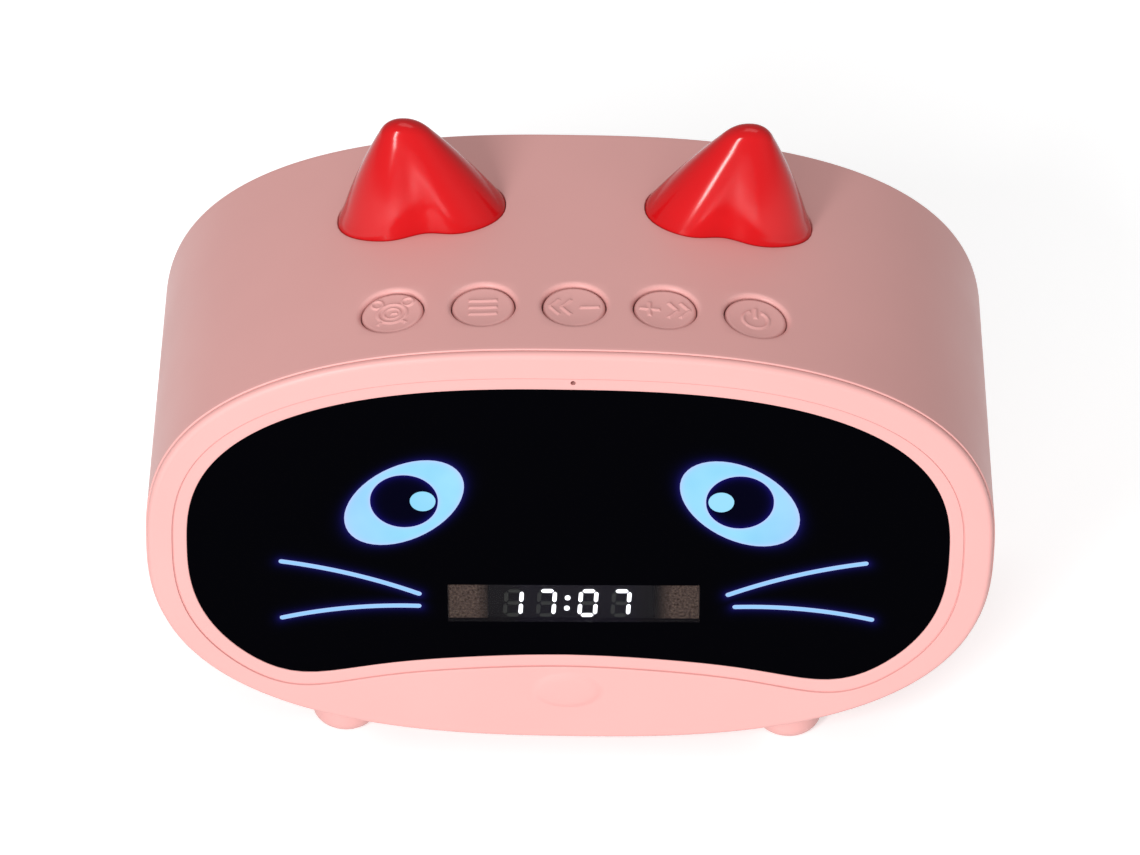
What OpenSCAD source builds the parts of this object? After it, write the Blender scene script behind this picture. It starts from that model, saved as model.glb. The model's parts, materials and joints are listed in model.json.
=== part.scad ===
// Cat-face digital clock: a shell on four feet with two ears, five top keys and a lit face.
// Millimetres. +X is the viewer's right, +Y runs to the back, +Z is up.
// The origin is on the ground, under the centre of the body.

/* [Body] */
// Width of the body
body_width = 130; // [128:0.5:132]
// Height of the body without feet and ears
body_height = 77.6; // [76.6:0.2:78.6]
// Length of the body shell from its front rim to its back rim
body_length = 53.6; // [53:0.2:55]
// Power of the rounded body outline: 2 is an ellipse, higher is squarer
body_power = 2.56; // [2.5:0.02:2.7]
// Wall of the body shell
wall = 2; // [1.8:0.1:2.2]
// Height of the body's lowest line above the ground
ground_gap = 4.4; // [3.8:0.2:5]

/* [Face] */
// Half width of the face opening
face_half_width = 58.4; // [57.5:0.1:59]
// How far the bezel stands out in front of the shell
bezel_proud = 1.2; // [1:0.1:1.4]
// Place of the panel's front, from the shell's front rim to the back
panel_front = -0.9; // [-0.95:0.05:-0.8]
// Thickness of the face panel
panel_thick = 1.6; // [1.4:0.1:1.8]
// Distance of each eye from the middle
eye_x = 25.6; // [25:0.1:26]
// Half length of an eye
eye_long = 10.45; // [10:0.05:10.6]
// Half width of an eye
eye_short = 6.85; // [6.5:0.05:7]
// Slope of an eye, inner end high, in degrees
eye_tilt = 39.2; // [37:0.1:41]
// Radius of a pupil
pupil_r = 5.2; // [5:0.05:5.4]

/* [Keys] */
// Spacing of the five keys
key_pitch = 13.8; // [13.6:0.1:14]
// Distance of the keys behind the front rim
key_y = 11; // [10.8:0.1:11.2]
// Radius of a key cap
key_r = 4.75; // [4.6:0.05:4.8]
// How far a key travels
key_travel = 0.5; // [0.3:0.05:0.6]

/* [Ears] */
// Distance of an ear's base from the middle
ear_x = 22.7; // [22:0.1:24]
// Distance of an ear's base behind the front rim
ear_y = 35.6; // [35:0.1:36]
// Height of an ear above the body's centre
ear_top = 54; // [52:0.1:55]

/* [Hidden] */
$fn = 48;

// Colours
pink = [0.94, 0.67, 0.65];
black = [0.03, 0.03, 0.04];
sky = [0.50, 0.80, 0.98];
red = [0.80, 0.07, 0.08];
white = [0.92, 0.92, 0.90];
steel = [0.70, 0.70, 0.72];
board_green = [0.08, 0.35, 0.18];

// Frame: the body's centre line stands at body_z, and y = 0 here is the shell's front rim
bump_proud = 0.4;
half_w = body_width / 2;
half_h = body_height / 2;
body_z = ground_gap + half_h;
front_y = -(body_length - bezel_proud - bump_proud) / 2;

// Outline detail
outline_points = 120;
gap = 0.15;
seam = 0.25;
spigot_inset = wall + gap;
spigot_wall = 1.4;
spigot_end = 5;
step_grow = 2.15;
step_depth = 0.2;
ledge_w = 1.5;
ledge_t = 1;
panel_gap = 0.05;
panel_back = panel_front + panel_thick;
inlay_gap = 0.02;
flange_end = panel_back + 1.2;

// Face outline: rounded top, two cheeks at the bottom and a hollow between them
face_power = 2.59;
face_x = -0.3;
face_z = 0.05;
face_rise = 31.68;
face_drop = 33.12;
chin_rise = 11.64;
chin_width = 41.8;
chin_power = 6.8;
chin_sag = 0.74;

// Places on the face, measured from the body's centre; the whole set is turned a little about the eyes
face_turn = 0.85;
eye_z = 9.3;
eye_shift = 0.15;
pupil_z = 9.6;
glint_x = 22.75;
glint_r = 1.95;
pupil_depth = 0.4;
whisker_w = 0.85;
whisker_x = [[23.79, -9.02, 44.84, -2.56, 0.75, 0.38], [24.37, -11.49, 45.46, -13.98, 0.83, 0.9]];
window_x = 0.4;
window_z = -10.9;
window_w = 38.9;
window_h = 7.5;
bump_z = -28.45;
bump_half = [5.2, 3.45];
mic_z = 33.1;

// Display
digit_w = 3.0;
digit_h = 5.5;
digit_t = 0.62;
digit_slant = 0.06;
digit_gap = 0.22;
digit_x = [-8.9, -3.8, 2.6, 7.7];
digit_z = -11.5;
colon_x = -0.6;
lit = [[1, 2], [0, 1, 2], [0, 1, 2, 3, 4, 5], [0, 1, 2]];
module_z = -11.1;
module_w = 25.5;
module_h = 10;
segment_front = -0.15;
segment_t = 0.15;

// Light box and its board
box_w = 99;
box_low = -19.5;
box_high = 19.5;
box_end = 10.4;
board_t = 1.2;
tongue_w = 24;
tongue_low = -34;
tongue_end = 3.9;

// Screws: head radius, head height, shank radius, pilot radius, clearance radius
small = [1.9, 1.2, 0.95, 1.0, 1.15];
large = [2.4, 1.1, 1.2, 1.25, 1.4];
bezel_fix = [[-47, 26.2], [47, 26.2], [-22, -31], [22, -31]];
bezel_seat = 10.4;
bezel_post_end = 8;
box_fix = [[-8, -30.5], [8, -30.5]];
face_fix = [[-10, 14], [10, 14]];
key_fix = [[-20.7, 15.6], [20.7, 15.6]];
main_fix = [[-26, 37.5], [26, 37.5], [-26, 47], [26, 47]];
tray_fix = [[-38.8, 23.5], [38.8, 23.5]];
cover_fix = [[-54.9, 18], [54.9, 18], [-54.9, -18], [54.9, -18], [0, 33.3], [0, -33.3]];
cover_boss_r = 3.7;

// Rear cover and speaker
cover_front = 50.4;
cover_t = 2.2;
cover_back = cover_front + cover_t;
speaker_z = 7;
speaker_corner = 18;
flange_front = 48.4;
flange_back = 49.4;
grille_pitch = 3.5;
grille_rings = 5;
grille_hole_r = 0.9;

// Key board
key_board_z = 27.5;
plunger_top = 33;
stop_gap = 0.3;
switch_h = plunger_top - key_board_z - board_t - key_travel - stop_gap;
cap_sink = 0.5;
hole_chamfer = 0.6;
cap_flange_top = 2.4;
cap_flange_t = 1;
legend_scale = 1.12;

// Main board, sockets and battery
main_z = -27.6;
main_t = 1.6;
main_top = main_z + main_t;
usb_x = -16;
usb_w = 8.9;
usb_h = 3.2;
jack_z = main_top + 2.8;
jack_r = 1.8;
card_x = 17;
card_w = 14;
card_h = 1.9;
cell_r = 9.2;
cell_len = 65;
cell_y = 23.5;
cell_z = -19;
tray_z = -30;

// Ears: half length and depth of the base, radii of the round top, bow of the flanks, lean of the top
ear_half = 12.9;
ear_depth = 7.75;
ear_round = [4.8, 2.2];
ear_bow = 0.4;
ear_lean = [3.8, 0.3];
ear_hollow = 1.5;
ear_low = 33;
ear_base_z = 37;
ear_points = 32;
ear_rings = 11;
ear_fix = [18.5, 27.5];

// Feet
foot_r = 5.3;
foot_round = 2.5;
foot_x = 34.8;
foot_front_y = 9;
foot_rear_y = 44.6;
peg_r = 1.8;

// ---------- shared geometry ----------

function signed_power(v, e) = sign(v) * pow(abs(v), e);

// Closed outline of a superellipse
function rounded(a, b, n, k = outline_points) = [
    for (i = [0 : k - 1])
        let (t = 360 * i / k)
            [a * signed_power(cos(t), 2 / n), b * signed_power(sin(t), 2 / n)]
];

function body_outline(inset) = rounded(half_w - inset, half_h - inset, body_power);

function ellipse(a, b, k = 48) = rounded(a, b, 2, k);

// Face opening, grown outward by g
function face_outline(g) = [
    for (p = rounded(face_half_width + g, 1, face_power))
        [
            p[0] + face_x,
            p[1] >= 0 ? face_z + (face_rise + g) * p[1]
                : face_z + (face_drop + g) * p[1] + chin_rise * chin(p)
        ]
];

function chin(p) =
    let (u = abs(p[0]) / chin_width) (1 - chin_sag * u * u) * exp(-pow(u, chin_power)) * min(1, -20 * p[1]);

// Height and slope of the body's top at x, from its centre
function top_z(x) = half_h * pow(1 - pow(abs(x) / half_w, body_power), 1 / body_power);
function top_angle(x) = atan((top_z(x - 0.05) - top_z(x + 0.05)) / 0.1);

// Puts a piece that is drawn from the shell's front rim and the body's centre in the frame
module in_body() {
    translate([0, front_y, body_z]) children();
}

// Turns the lit shapes and the display together about a point between the eyes
module turn_face() {
    translate([0, 0, eye_z]) rotate([0, -face_turn, 0]) translate([0, 0, -eye_z]) children();
}

// Extrudes an outline drawn in X and Z from y0 to y1
module slab(y0, y1) {
    translate([0, y1, 0]) rotate([90, 0, 0]) linear_extrude(y1 - y0) children();
}

// Round rod along Y
module rod(x, z, y0, y1, r) {
    translate([x, y1, z]) rotate([90, 0, 0]) cylinder(h = y1 - y0, r = r);
}

// Upright round post
module post(x, y, z0, z1, r) {
    translate([x, y, z0]) cylinder(h = z1 - z0, r = r);
}

// Block between two corners
module block(low, high) {
    translate(low) cube(high - low);
}

// Rectangle with round corners, centred
module rounded_rect(w, h, r) {
    square([w - 2 * r, h], center = true);
    square([w, h - 2 * r], center = true);
    for (sx = [-1, 1], sz = [-1, 1]) translate([sx * (w / 2 - r), sz * (h / 2 - r)]) circle(r = r);
}

// Ring of revolution about an axis along Y through x, z; the profile is drawn as radius and y
module turned(x, z) {
    translate([x, 0, z]) rotate([-90, 0, 0]) rotate_extrude() children();
}

// Skin through rings that all have the same number of points
module loft(rings) {
    n = len(rings[0]);
    m = len(rings);
    points = [for (ring = rings) each ring];
    sides = [
        for (j = [0 : m - 2], i = [0 : n - 1])
            let (a = j * n + i, b = j * n + (i + 1) % n)
                each [[a, b, b + n], [a, b + n, a + n]]
    ];
    low = [[for (i = [n - 1 : -1 : 0]) i]];
    high = [[for (i = [0 : n - 1]) (m - 1) * n + i]];
    polyhedron(points, concat(sides, low, high), convexity = 6);
}

// Round wire through a list of points
function unit(v) = v / norm(v);
function along(p, i) = unit(p[min(i + 1, len(p) - 1)] - p[max(i - 1, 0)]);
function side_of(t) = unit(cross(t, abs(t[2]) < 0.9 ? [0, 0, 1] : [1, 0, 0]));
module wire(p, r, sides = 8) {
    loft([
        for (i = [0 : len(p) - 1])
            let (t = along(p, i), u = side_of(t), v = cross(t, u))
                [for (k = [0 : sides - 1]) p[i] + r * (cos(360 * k / sides) * u + sin(360 * k / sides) * v)]
    ]);
}

// ---------- body shell ----------

module ear_pocket(side) {
    intersection() {
        translate([0, 0, 30]) linear_extrude(12) polygon(ear_outline(side, 0.1));
        difference() {
            block([-half_w, 0, 20], [half_w, body_length, 50]);
            slab(-1, body_length + 1) polygon(body_outline(0.6));
        }
    }
}

module body_shell() {
    color(pink) in_body() difference() {
        union() {
            difference() {
                slab(0, body_length) polygon(body_outline(0));
                slab(-1, body_length + 1) polygon(body_outline(wall));
            }
            for (p = cover_fix) rod(p[0], p[1], 38, cover_front, cover_boss_r);
            for (p = bezel_fix) rod(p[0], p[1], bezel_post_end + gap, bezel_seat, 3.4);
            for (s = [-1, 1])
                block([s * 22 - 3.4, bezel_post_end + gap, -36.3], [s * 22 + 3.4, bezel_seat, -31]);
            for (p = key_fix) post(p[0], p[1], key_board_z + board_t, 36.8, 2.2);
            for (p = main_fix) post(p[0], p[1], -36.3, main_z, 2.4);
            for (p = tray_fix) post(p[0], p[1], -33.6, tray_z, 2.6);
            for (s = [-1, 1], x = ear_fix) post(s * x, ear_y, 33.6, 36, 2.8);
        }
        for (i = [0 : 4]) at_key(i) {
            translate([0, 0, -wall - 1]) cylinder(h = wall + 2, r = key_r + 0.2);
            translate([0, 0, -hole_chamfer])
                cylinder(h = 2 * hole_chamfer, r1 = key_r + 0.2, r2 = key_r + 0.2 + 2 * hole_chamfer);
        }
        for (p = cover_fix) rod(p[0], p[1], 40, cover_front + 1, large[3]);
        for (p = bezel_fix) rod(p[0], p[1], bezel_post_end - 1, bezel_seat + 1, small[4]);
        for (p = key_fix) post(p[0], p[1], key_board_z, 34, small[3]);
        for (p = main_fix) post(p[0], p[1], -32, main_z + 1, small[3]);
        for (p = tray_fix) post(p[0], p[1], -33, tray_z + 1, small[3]);
        for (s = [-1, 1], x = ear_fix) post(s * x, ear_y, 33, 40, small[4]);
        for (s = [-1, 1], y = [foot_front_y, foot_rear_y]) post(s * foot_x, y, -40, -30, peg_r + 0.05);
        for (s = [-1, 1]) ear_pocket(s);
    }
}

// ---------- front bezel and face ----------

module chin_bump() {
    slab(-bezel_proud - bump_proud, 0) translate([0, bump_z])
        polygon(ellipse(bump_half[0] - 0.6, bump_half[1] - 0.6));
    slab(-bezel_proud - bump_proud / 2, 0) translate([0, bump_z])
        polygon(ellipse(bump_half[0], bump_half[1]));
}

// Shallow step round the panel, the panel's seat and the opening inside its ledge
module face_opening() {
    slab(-3, step_depth - bezel_proud) polygon(face_outline(step_grow));
    slab(-3, panel_back) polygon(face_outline(0));
    slab(-3, spigot_end + 9) polygon(face_outline(-ledge_w));
}

module front_bezel() {
    color(pink) in_body() difference() {
        union() {
            slab(-bezel_proud, 0) polygon(body_outline(seam + 0.5));
            slab(0.5 - bezel_proud, 0) polygon(body_outline(seam));
            chin_bump();
            difference() {
                slab(0, spigot_end) polygon(body_outline(spigot_inset));
                slab(panel_back + ledge_t, spigot_end + 1)
                    polygon(body_outline(spigot_inset + spigot_wall));
            }
            for (p = bezel_fix) rod(p[0], p[1], 0, bezel_post_end, 1.9);
            for (p = box_fix) rod(p[0], p[1], 0, flange_end, 2.6);
        }
        face_opening();
        rod(0, mic_z, -3, 4, 0.4);
        slab(1.2, spigot_end) translate([0, mic_z]) square([4.6, 2.1], center = true);
        for (p = bezel_fix) rod(p[0], p[1], 1.6, bezel_post_end + 1, small[3]);
        for (p = box_fix) rod(p[0], p[1], 0.3, flange_end + 1, small[3]);
    }
}

module eye_shape(side, grow) {
    translate([side * eye_x + eye_shift, eye_z]) rotate(-side * eye_tilt)
        polygon(ellipse(eye_long + grow, eye_short + grow));
}

// Points on an arc, without its two ends when open is true
function arc(centre, r, from, to, n, open = false) = [
    for (i = [open ? 1 : 0 : open ? n - 1 : n])
        let (a = from + (to - from) * i / n) centre + r * [cos(a), sin(a)]
];

// One whisker: an arc with round ends, side is -1 or 1
module whisker(side, w, grow, y0, y1) {
    inner = [side * w[0] + w[5], w[1]];
    outer = [side * w[2] + w[5], w[3]];
    mid = (inner + outer) / 2;
    chord = norm(outer - inner);
    r = (chord * chord / 4 + w[4] * w[4]) / (2 * w[4]);
    across = unit(outer - inner);
    up = side * [-across[1], across[0]];
    centre = mid - up * (r - w[4]);
    half = whisker_w / 2 + grow;
    span = 2 * asin(chord / 2 / r);
    start = atan2(up[1], up[0]) - span / 2;
    end = start + span;
    slab(y0, y1) polygon(concat(
        arc(centre, r + half, start, end, 16),
        arc(centre + r * [cos(end), sin(end)], half, end, end + 180, 6, true),
        arc(centre, r - half, end, start, 16),
        arc(centre + r * [cos(start), sin(start)], half, start + 180, start + 360, 6, true)
    ));
}

module window_shape(grow) {
    translate([window_x, window_z]) square([window_w + 2 * grow, window_h + 2 * grow], center = true);
}

module face_panel() {
    color(black) in_body() difference() {
        slab(panel_front, panel_back) polygon(face_outline(-panel_gap));
        turn_face() {
            for (s = [-1, 1]) {
                slab(-3, 4) eye_shape(s, 0);
                for (w = whisker_x) whisker(s, w, 0, -3, 4);
            }
            slab(-3, 4) window_shape(0);
        }
    }
}

module eye_diffuser(side) {
    color(sky) in_body() turn_face() difference() {
        union() {
            slab(panel_front, panel_back) eye_shape(side, -inlay_gap);
            slab(panel_back, flange_end) eye_shape(side, 1.2);
        }
        difference() {
            rod(side * eye_x + eye_shift, pupil_z, -3, panel_front + pupil_depth, pupil_r);
            rod(side * glint_x + eye_shift, pupil_z, -4, 4, glint_r);
        }
    }
}

module eye_diffuser_left() {
    eye_diffuser(-1);
}

module eye_diffuser_right() {
    eye_diffuser(1);
}

module pupil_discs() {
    color(black) in_body() turn_face() for (s = [-1, 1]) difference() {
        rod(s * eye_x + eye_shift, pupil_z, panel_front, panel_front + pupil_depth, pupil_r - inlay_gap);
        rod(s * glint_x + eye_shift, pupil_z, -3, 4, glint_r + inlay_gap);
    }
}

module whisker_guides(side) {
    color(sky) in_body() turn_face() for (w = whisker_x) {
        whisker(side, w, -inlay_gap, panel_front, panel_back);
        whisker(side, w, 0.45, panel_back, flange_end);
    }
}

module whisker_guides_left() {
    whisker_guides(-1);
}

module whisker_guides_right() {
    whisker_guides(1);
}

// ---------- display ----------

module display_window() {
    color([0.15, 0.13, 0.14, 0.6]) in_body() turn_face()
        slab(panel_front, panel_front + 0.7) window_shape(-inlay_gap);
}

module display_foam() {
    color([0.35, 0.25, 0.20]) in_body() turn_face() for (s = [-1, 1]) {
        near = s * (module_w / 2 + 0.1);
        far = window_x + s * (window_w / 2 - 0.1);
        block([min(near, far), panel_front + 0.75, window_z - 3.6],
            [max(near, far), box_end, window_z + 3.6]);
    }
}

module display_module() {
    color([0.08, 0.08, 0.09]) in_body() turn_face() {
        slab(segment_front + segment_t, panel_back + 0.2)
            translate([0, window_z]) square([module_w, window_h - 0.3], center = true);
        slab(panel_back + 0.2, box_end) translate([0, module_z]) square([module_w, module_h], center = true);
    }
}

// One segment of a digit, counted clockwise from the top one; 6 is the middle one
function slanted(p) = [p[0] + digit_slant * p[1], p[1]];
function flat_bar(z) =
    let (w = digit_w / 2 - digit_t / 2 - digit_gap, t = digit_t / 2)
        [for (p = [[-w, z], [-w + t, z + t], [w - t, z + t], [w, z], [w - t, z - t], [-w + t, z - t]])
            slanted(p)];
function tall_bar(x, z) =
    let (h = digit_h / 4 - digit_t / 4 - digit_gap, t = digit_t / 2)
        [for (p = [[x, z - h], [x - t, z - h + t], [x - t, z + h - t], [x, z + h], [x + t, z + h - t],
            [x + t, z - h + t]]) slanted(p)];
function segment(k) =
    let (x = digit_w / 2 - digit_t / 2, z = digit_h / 4 - digit_t / 4, e = digit_h / 2 - digit_t / 2)
        k == 0 ? flat_bar(e) : k == 1 ? tall_bar(x, z) : k == 2 ? tall_bar(x, -z) :
        k == 3 ? flat_bar(-e) : k == 4 ? tall_bar(-x, -z) : k == 5 ? tall_bar(-x, z) : flat_bar(0);

module segments(on) {
    in_body() turn_face() for (d = [0 : 3], k = [0 : 6])
        if ((len(search(k, lit[d])) > 0) == on)
            slab(segment_front, segment_front + segment_t)
                translate([digit_x[d], digit_z]) polygon(segment(k));
}

module segments_lit() {
    color("white") {
        segments(true);
        in_body() turn_face() for (z = [-1, 1])
            rod(colon_x + digit_slant * z, digit_z + z * 1.05,
                segment_front, segment_front + segment_t, 0.42);
    }
}

module segments_off() {
    color([0.25, 0.25, 0.27]) segments(false);
}

// ---------- light box and boards ----------

module box_outline() {
    translate([0, (box_low + box_high) / 2]) rounded_rect(box_w, box_high - box_low, 3);
}

module light_box() {
    color(white) in_body() difference() {
        union() {
            slab(flange_end, box_end) box_outline();
            slab(flange_end, tongue_end) translate([0, (tongue_low + box_low + 4) / 2])
                rounded_rect(tongue_w, box_low + 4 - tongue_low, 2);
        }
        turn_face() {
            for (s = [-1, 1]) {
                slab(0, 20) eye_shape(s, 0.3);
                slab(0, 20) translate([s * 35.5 + 0.4, -8.9]) rounded_rect(25, 14.6, 1.5);
            }
            slab(0, 20) translate([window_x, module_z])
                square([window_w + 1.2, module_h + 0.6], center = true);
        }
        for (p = box_fix) rod(p[0], p[1], 0, 20, small[4]);
        for (p = face_fix) rod(p[0], p[1], 5, box_end + 1, small[3]);
    }
}

module face_board() {
    color(board_green) in_body() difference() {
        slab(box_end, box_end + board_t) box_outline();
        for (p = face_fix) rod(p[0], p[1], 0, 20, small[4]);
    }
}

module face_leds() {
    color([0.95, 0.93, 0.80]) in_body() for (s = [-1, 1]) {
        for (p = [[eye_x - 4, eye_z + 2.5], [eye_x + 4, eye_z - 2.5], [29, -7.6], [41, -7.6]])
            slab(box_end - 1.2, box_end) translate([s * p[0], p[1]]) square([3.5, 2.8], center = true);
    }
}

module microphone() {
    color(steel) in_body() slab(1.2, 2.2) translate([0, mic_z]) square([3.4, 1.6], center = true);
}

module microphone_board() {
    color(board_green) in_body() slab(2.2, 3) translate([0, mic_z]) square([10, 1.7], center = true);
}

// ---------- keys ----------

function key_x(i) = (i - 2) * key_pitch;
function key_drop(i) = (top_z(key_x(i)) - plunger_top) / cos(top_angle(key_x(i)));

// Places a piece with its top at the shell's surface and its axis square to it
module at_key(i) {
    x = key_x(i);
    translate([x, key_y, top_z(x)]) rotate([0, top_angle(x), 0]) children();
}

module key_cap(i) {
    color(pink) in_body() at_key(i) {
        translate([0, 0, -cap_flange_top]) cylinder(h = cap_flange_top - cap_sink, r = key_r);
        translate([0, 0, -cap_flange_top - cap_flange_t]) cylinder(h = cap_flange_t, r = key_r + 0.9);
        translate([0, 0, -key_drop(i)]) cylinder(h = key_drop(i) - cap_flange_top, r = 1.6);
        translate([0, 0, -cap_sink]) linear_extrude(0.22) scale(legend_scale) children();
    }
}

module chevron(x, way) {
    for (s = [-1, 1]) translate([x, 0]) rotate(way * s * 52)
        translate([way > 0 ? 0 : -2, -0.22]) square([2, 0.44]);
}

module bar(w, h) {
    square([w, h], center = true);
}

module alarm_button() {
    key_cap(0) {
        difference() {
            circle(r = 2.1);
            circle(r = 1.65);
        }
        translate([0.3, 0]) bar(1, 0.4);
        translate([0, 0.35]) bar(0.4, 1.1);
        for (s = [-1, 1]) {
            rotate(s * 42) translate([0, 2.85]) bar(1.7, 0.8);
            rotate(s * 148) translate([0, 2.45]) bar(0.45, 0.9);
        }
    }
}

module mode_button() {
    key_cap(1) for (z = [-1.4, 0, 1.4]) translate([0, z]) bar(3.8, 0.5);
}

module back_button() {
    key_cap(2) {
        chevron(-3.3, 1);
        chevron(-1.7, 1);
        translate([2.1, 0]) bar(2.6, 0.45);
    }
}

module forward_button() {
    key_cap(3) {
        chevron(3.3, -1);
        chevron(1.7, -1);
        translate([-2.1, 0]) bar(2.8, 0.45);
        translate([-2.1, 0]) bar(0.45, 2.8);
    }
}

module power_button() {
    key_cap(4) {
        difference() {
            circle(r = 1.95);
            circle(r = 1.5);
            translate([0, 2]) square([1.5, 2.4], center = true);
        }
        translate([0, 1.3]) bar(0.45, 2);
    }
}

module key_plunger(i) {
    color([0.15, 0.15, 0.16]) in_body() at_key(i)
        translate([0, 0, -key_drop(i) - 1.9]) cylinder(h = 1.9, r = 1.7);
}

module alarm_plunger() {
    key_plunger(0);
}

module mode_plunger() {
    key_plunger(1);
}

module back_plunger() {
    key_plunger(2);
}

module forward_plunger() {
    key_plunger(3);
}

module power_plunger() {
    key_plunger(4);
}

module key_switches() {
    low = key_board_z + board_t;
    color(steel) in_body() for (i = [0 : 4]) {
        x = key_x(i) - (top_z(key_x(i)) - plunger_top) * tan(top_angle(key_x(i)));
        difference() {
            block([x - 3, key_y - 3, low], [x + 3, key_y + 3, low + switch_h]);
            at_key(i) translate([0, 0, -key_drop(i) - 3]) cylinder(h = 6, r = 1.95);
        }
    }
}

module key_board() {
    color(board_green) in_body() difference() {
        block([-36, 5.5, key_board_z], [36, 18.2, key_board_z + board_t]);
        for (p = key_fix) post(p[0], p[1], 20, 40, small[4]);
    }
}

// ---------- main board, sockets and battery ----------

module main_board() {
    color(board_green) in_body() difference() {
        block([-30, 34.5, main_z], [30, 50, main_top]);
        for (p = main_fix) post(p[0], p[1], -40, 0, small[4]);
    }
}

module main_chips() {
    color(black) in_body() {
        block([-11, 36, main_top], [-5, 42, main_top + 1]);
        block([-20, 37, main_top], [-15, 41, main_top + 1.4]);
        block([11, 35.2, main_top], [16, 38.2, main_top + 1]);
    }
}

module usb_socket() {
    color(steel) in_body() difference() {
        slab(45.1, cover_back - 0.1)
            translate([usb_x, main_top + usb_h / 2]) rounded_rect(usb_w, usb_h, 1.3);
        slab(47, cover_back + 1)
            translate([usb_x, main_top + usb_h / 2]) rounded_rect(usb_w - 0.7, usb_h - 0.7, 0.95);
    }
    color(black) in_body() slab(47, cover_back - 1)
        translate([usb_x, main_top + usb_h / 2]) square([6.6, 0.7], center = true);
}

module audio_socket() {
    color([0.1, 0.1, 0.11]) in_body() difference() {
        union() {
            block([-3.3, 39.6, main_top], [3.3, cover_front - 0.3, main_top + 5.6]);
            rod(0, jack_z, cover_front - 1, cover_back - 0.1, 2.8);
        }
        rod(0, jack_z, 40.6, cover_back + 1, jack_r);
    }
}

module card_socket() {
    color(steel) in_body() difference() {
        block([card_x - card_w / 2, 38.6, main_top],
            [card_x + card_w / 2, cover_back - 0.4, main_top + card_h]);
        block([card_x - 5.6, 40, main_top + 0.4], [card_x + 5.6, cover_back + 1, main_top + 1.4]);
    }
}

module battery_cell() {
    color([0.20, 0.45, 0.75]) in_body() translate([-cell_len / 2, cell_y, cell_z]) rotate([0, 90, 0]) {
        cylinder(h = cell_len - 1, r = cell_r);
        cylinder(h = cell_len, r = 3);
    }
}

module battery_tray() {
    end = cell_len / 2 + 0.5;
    color([0.12, 0.12, 0.13]) in_body() difference() {
        union() {
            block([-end - 1.8, cell_y - 10.8, tray_z], [end + 1.8, cell_y + 10, -22]);
            block([-42, cell_y - 4, tray_z], [42, cell_y + 4, tray_z + board_t + 0.4]);
        }
        translate([-end, cell_y, cell_z]) rotate([0, 90, 0]) cylinder(h = 2 * end, r = cell_r + 0.2);
        block([-30, 9, tray_z - 1], [30, 16, -25]);
        for (p = tray_fix) post(p[0], p[1], -40, 0, small[4]);
    }
}

battery_route = [
    [33.15, 23.5, -17], [34.6, 25.5, -16.6], [35, 29, -16.8], [34, 33, -18], [31.5, 35.6, -20],
    [27.5, 36.4, -22.6], [23.5, 36.4, -23.4], [21.6, 36.3, -23.9], [21, 36.2, -24.6], [21, 36.2, -25.9]
];

module battery_leads() {
    color([0.75, 0.1, 0.1]) in_body() wire(battery_route, 0.6);
    color(black) in_body() wire([for (p = battery_route) [-p[0], p[1], p[2]]], 0.6);
}

// ---------- speaker ----------

module speaker_frame() {
    color([0.12, 0.12, 0.13]) in_body() difference() {
        union() {
            slab(flange_front, flange_back) translate([0, speaker_z]) difference() {
                rounded_rect(43, 43, 4);
                circle(r = 19.5);
            }
            turned(0, speaker_z) polygon([
                [20.5, 48.5], [20.5, 46.2], [13, 36], [13, 35], [7.9, 35], [7.9, 36],
                [12.2, 36], [19.5, 46], [19.5, 48.5]
            ]);
        }
        for (a = [0 : 90 : 270]) translate([0, 0, speaker_z]) rotate([0, a, 0])
            block([11, 37.5, -5], [30, 44.5, 5]);
        for (sx = [-1, 1], sz = [-1, 1])
            rod(sx * speaker_corner, speaker_z + sz * speaker_corner, 40, 60, small[4]);
    }
}

module speaker_top_plate() {
    color(steel) in_body() turned(0, speaker_z) translate([7.5, 33]) square([5.2, 2]);
}

module speaker_magnet() {
    color([0.25, 0.25, 0.27]) in_body() turned(0, speaker_z) translate([8.5, 29.5]) square([5.3, 3.5]);
}

module speaker_yoke() {
    color(steel) in_body() turned(0, speaker_z) {
        translate([0, 27.5]) square([13.8, 2]);
        translate([0, 27.5]) square([6, 7.6]);
    }
}

module speaker_cone() {
    color([0.10, 0.10, 0.11]) in_body() turned(0, speaker_z)
        polygon([[6.92, 40.6], [16.6, 46.3], [16.6, 46.9], [6.92, 41.2]]);
}

module speaker_dust_cap() {
    dome_y = 32.2;
    color([0.14, 0.14, 0.15]) in_body() turned(0, speaker_z) intersection() {
        difference() {
            translate([0, dome_y]) circle(r = 12, $fn = 96);
            translate([0, dome_y]) circle(r = 11.6, $fn = 96);
        }
        translate([0, dome_y + 9.3]) square([6.88, 5]);
    }
}

module speaker_voice_coil() {
    color([0.72, 0.42, 0.20]) in_body() turned(0, speaker_z) {
        translate([6.5, 31.5]) square([0.4, 10]);
        translate([6.9, 31.7]) square([0.25, 4]);
    }
}

module speaker_surround() {
    color([0.06, 0.06, 0.07]) in_body() turned(0, speaker_z) translate([18.15, 46.4]) difference() {
        circle(r = 1.3);
        circle(r = 0.9);
        translate([-3, -3]) square([6, 3]);
    }
}

module speaker_spider() {
    t = 0.35;
    r = [for (k = [0 : 6]) 7.2 + k * 1.1];
    y = [for (k = [0 : 6]) 38.7 + (k % 2) * 0.5];
    color([0.75, 0.62, 0.30]) in_body() turned(0, speaker_z)
        polygon([for (k = [0 : 6]) [r[k], y[k]], for (k = [6 : -1 : 0]) [r[k], y[k] + t]]);
}

module speaker_gasket() {
    color([0.10, 0.10, 0.10]) in_body() turned(0, speaker_z)
        translate([20.7, flange_back]) square([1.8, cover_front - flange_back]);
}

module grille_cloth() {
    color([0.05, 0.05, 0.06]) in_body() rod(0, speaker_z, cover_front - 0.2, cover_front, 20.5);
}

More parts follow.
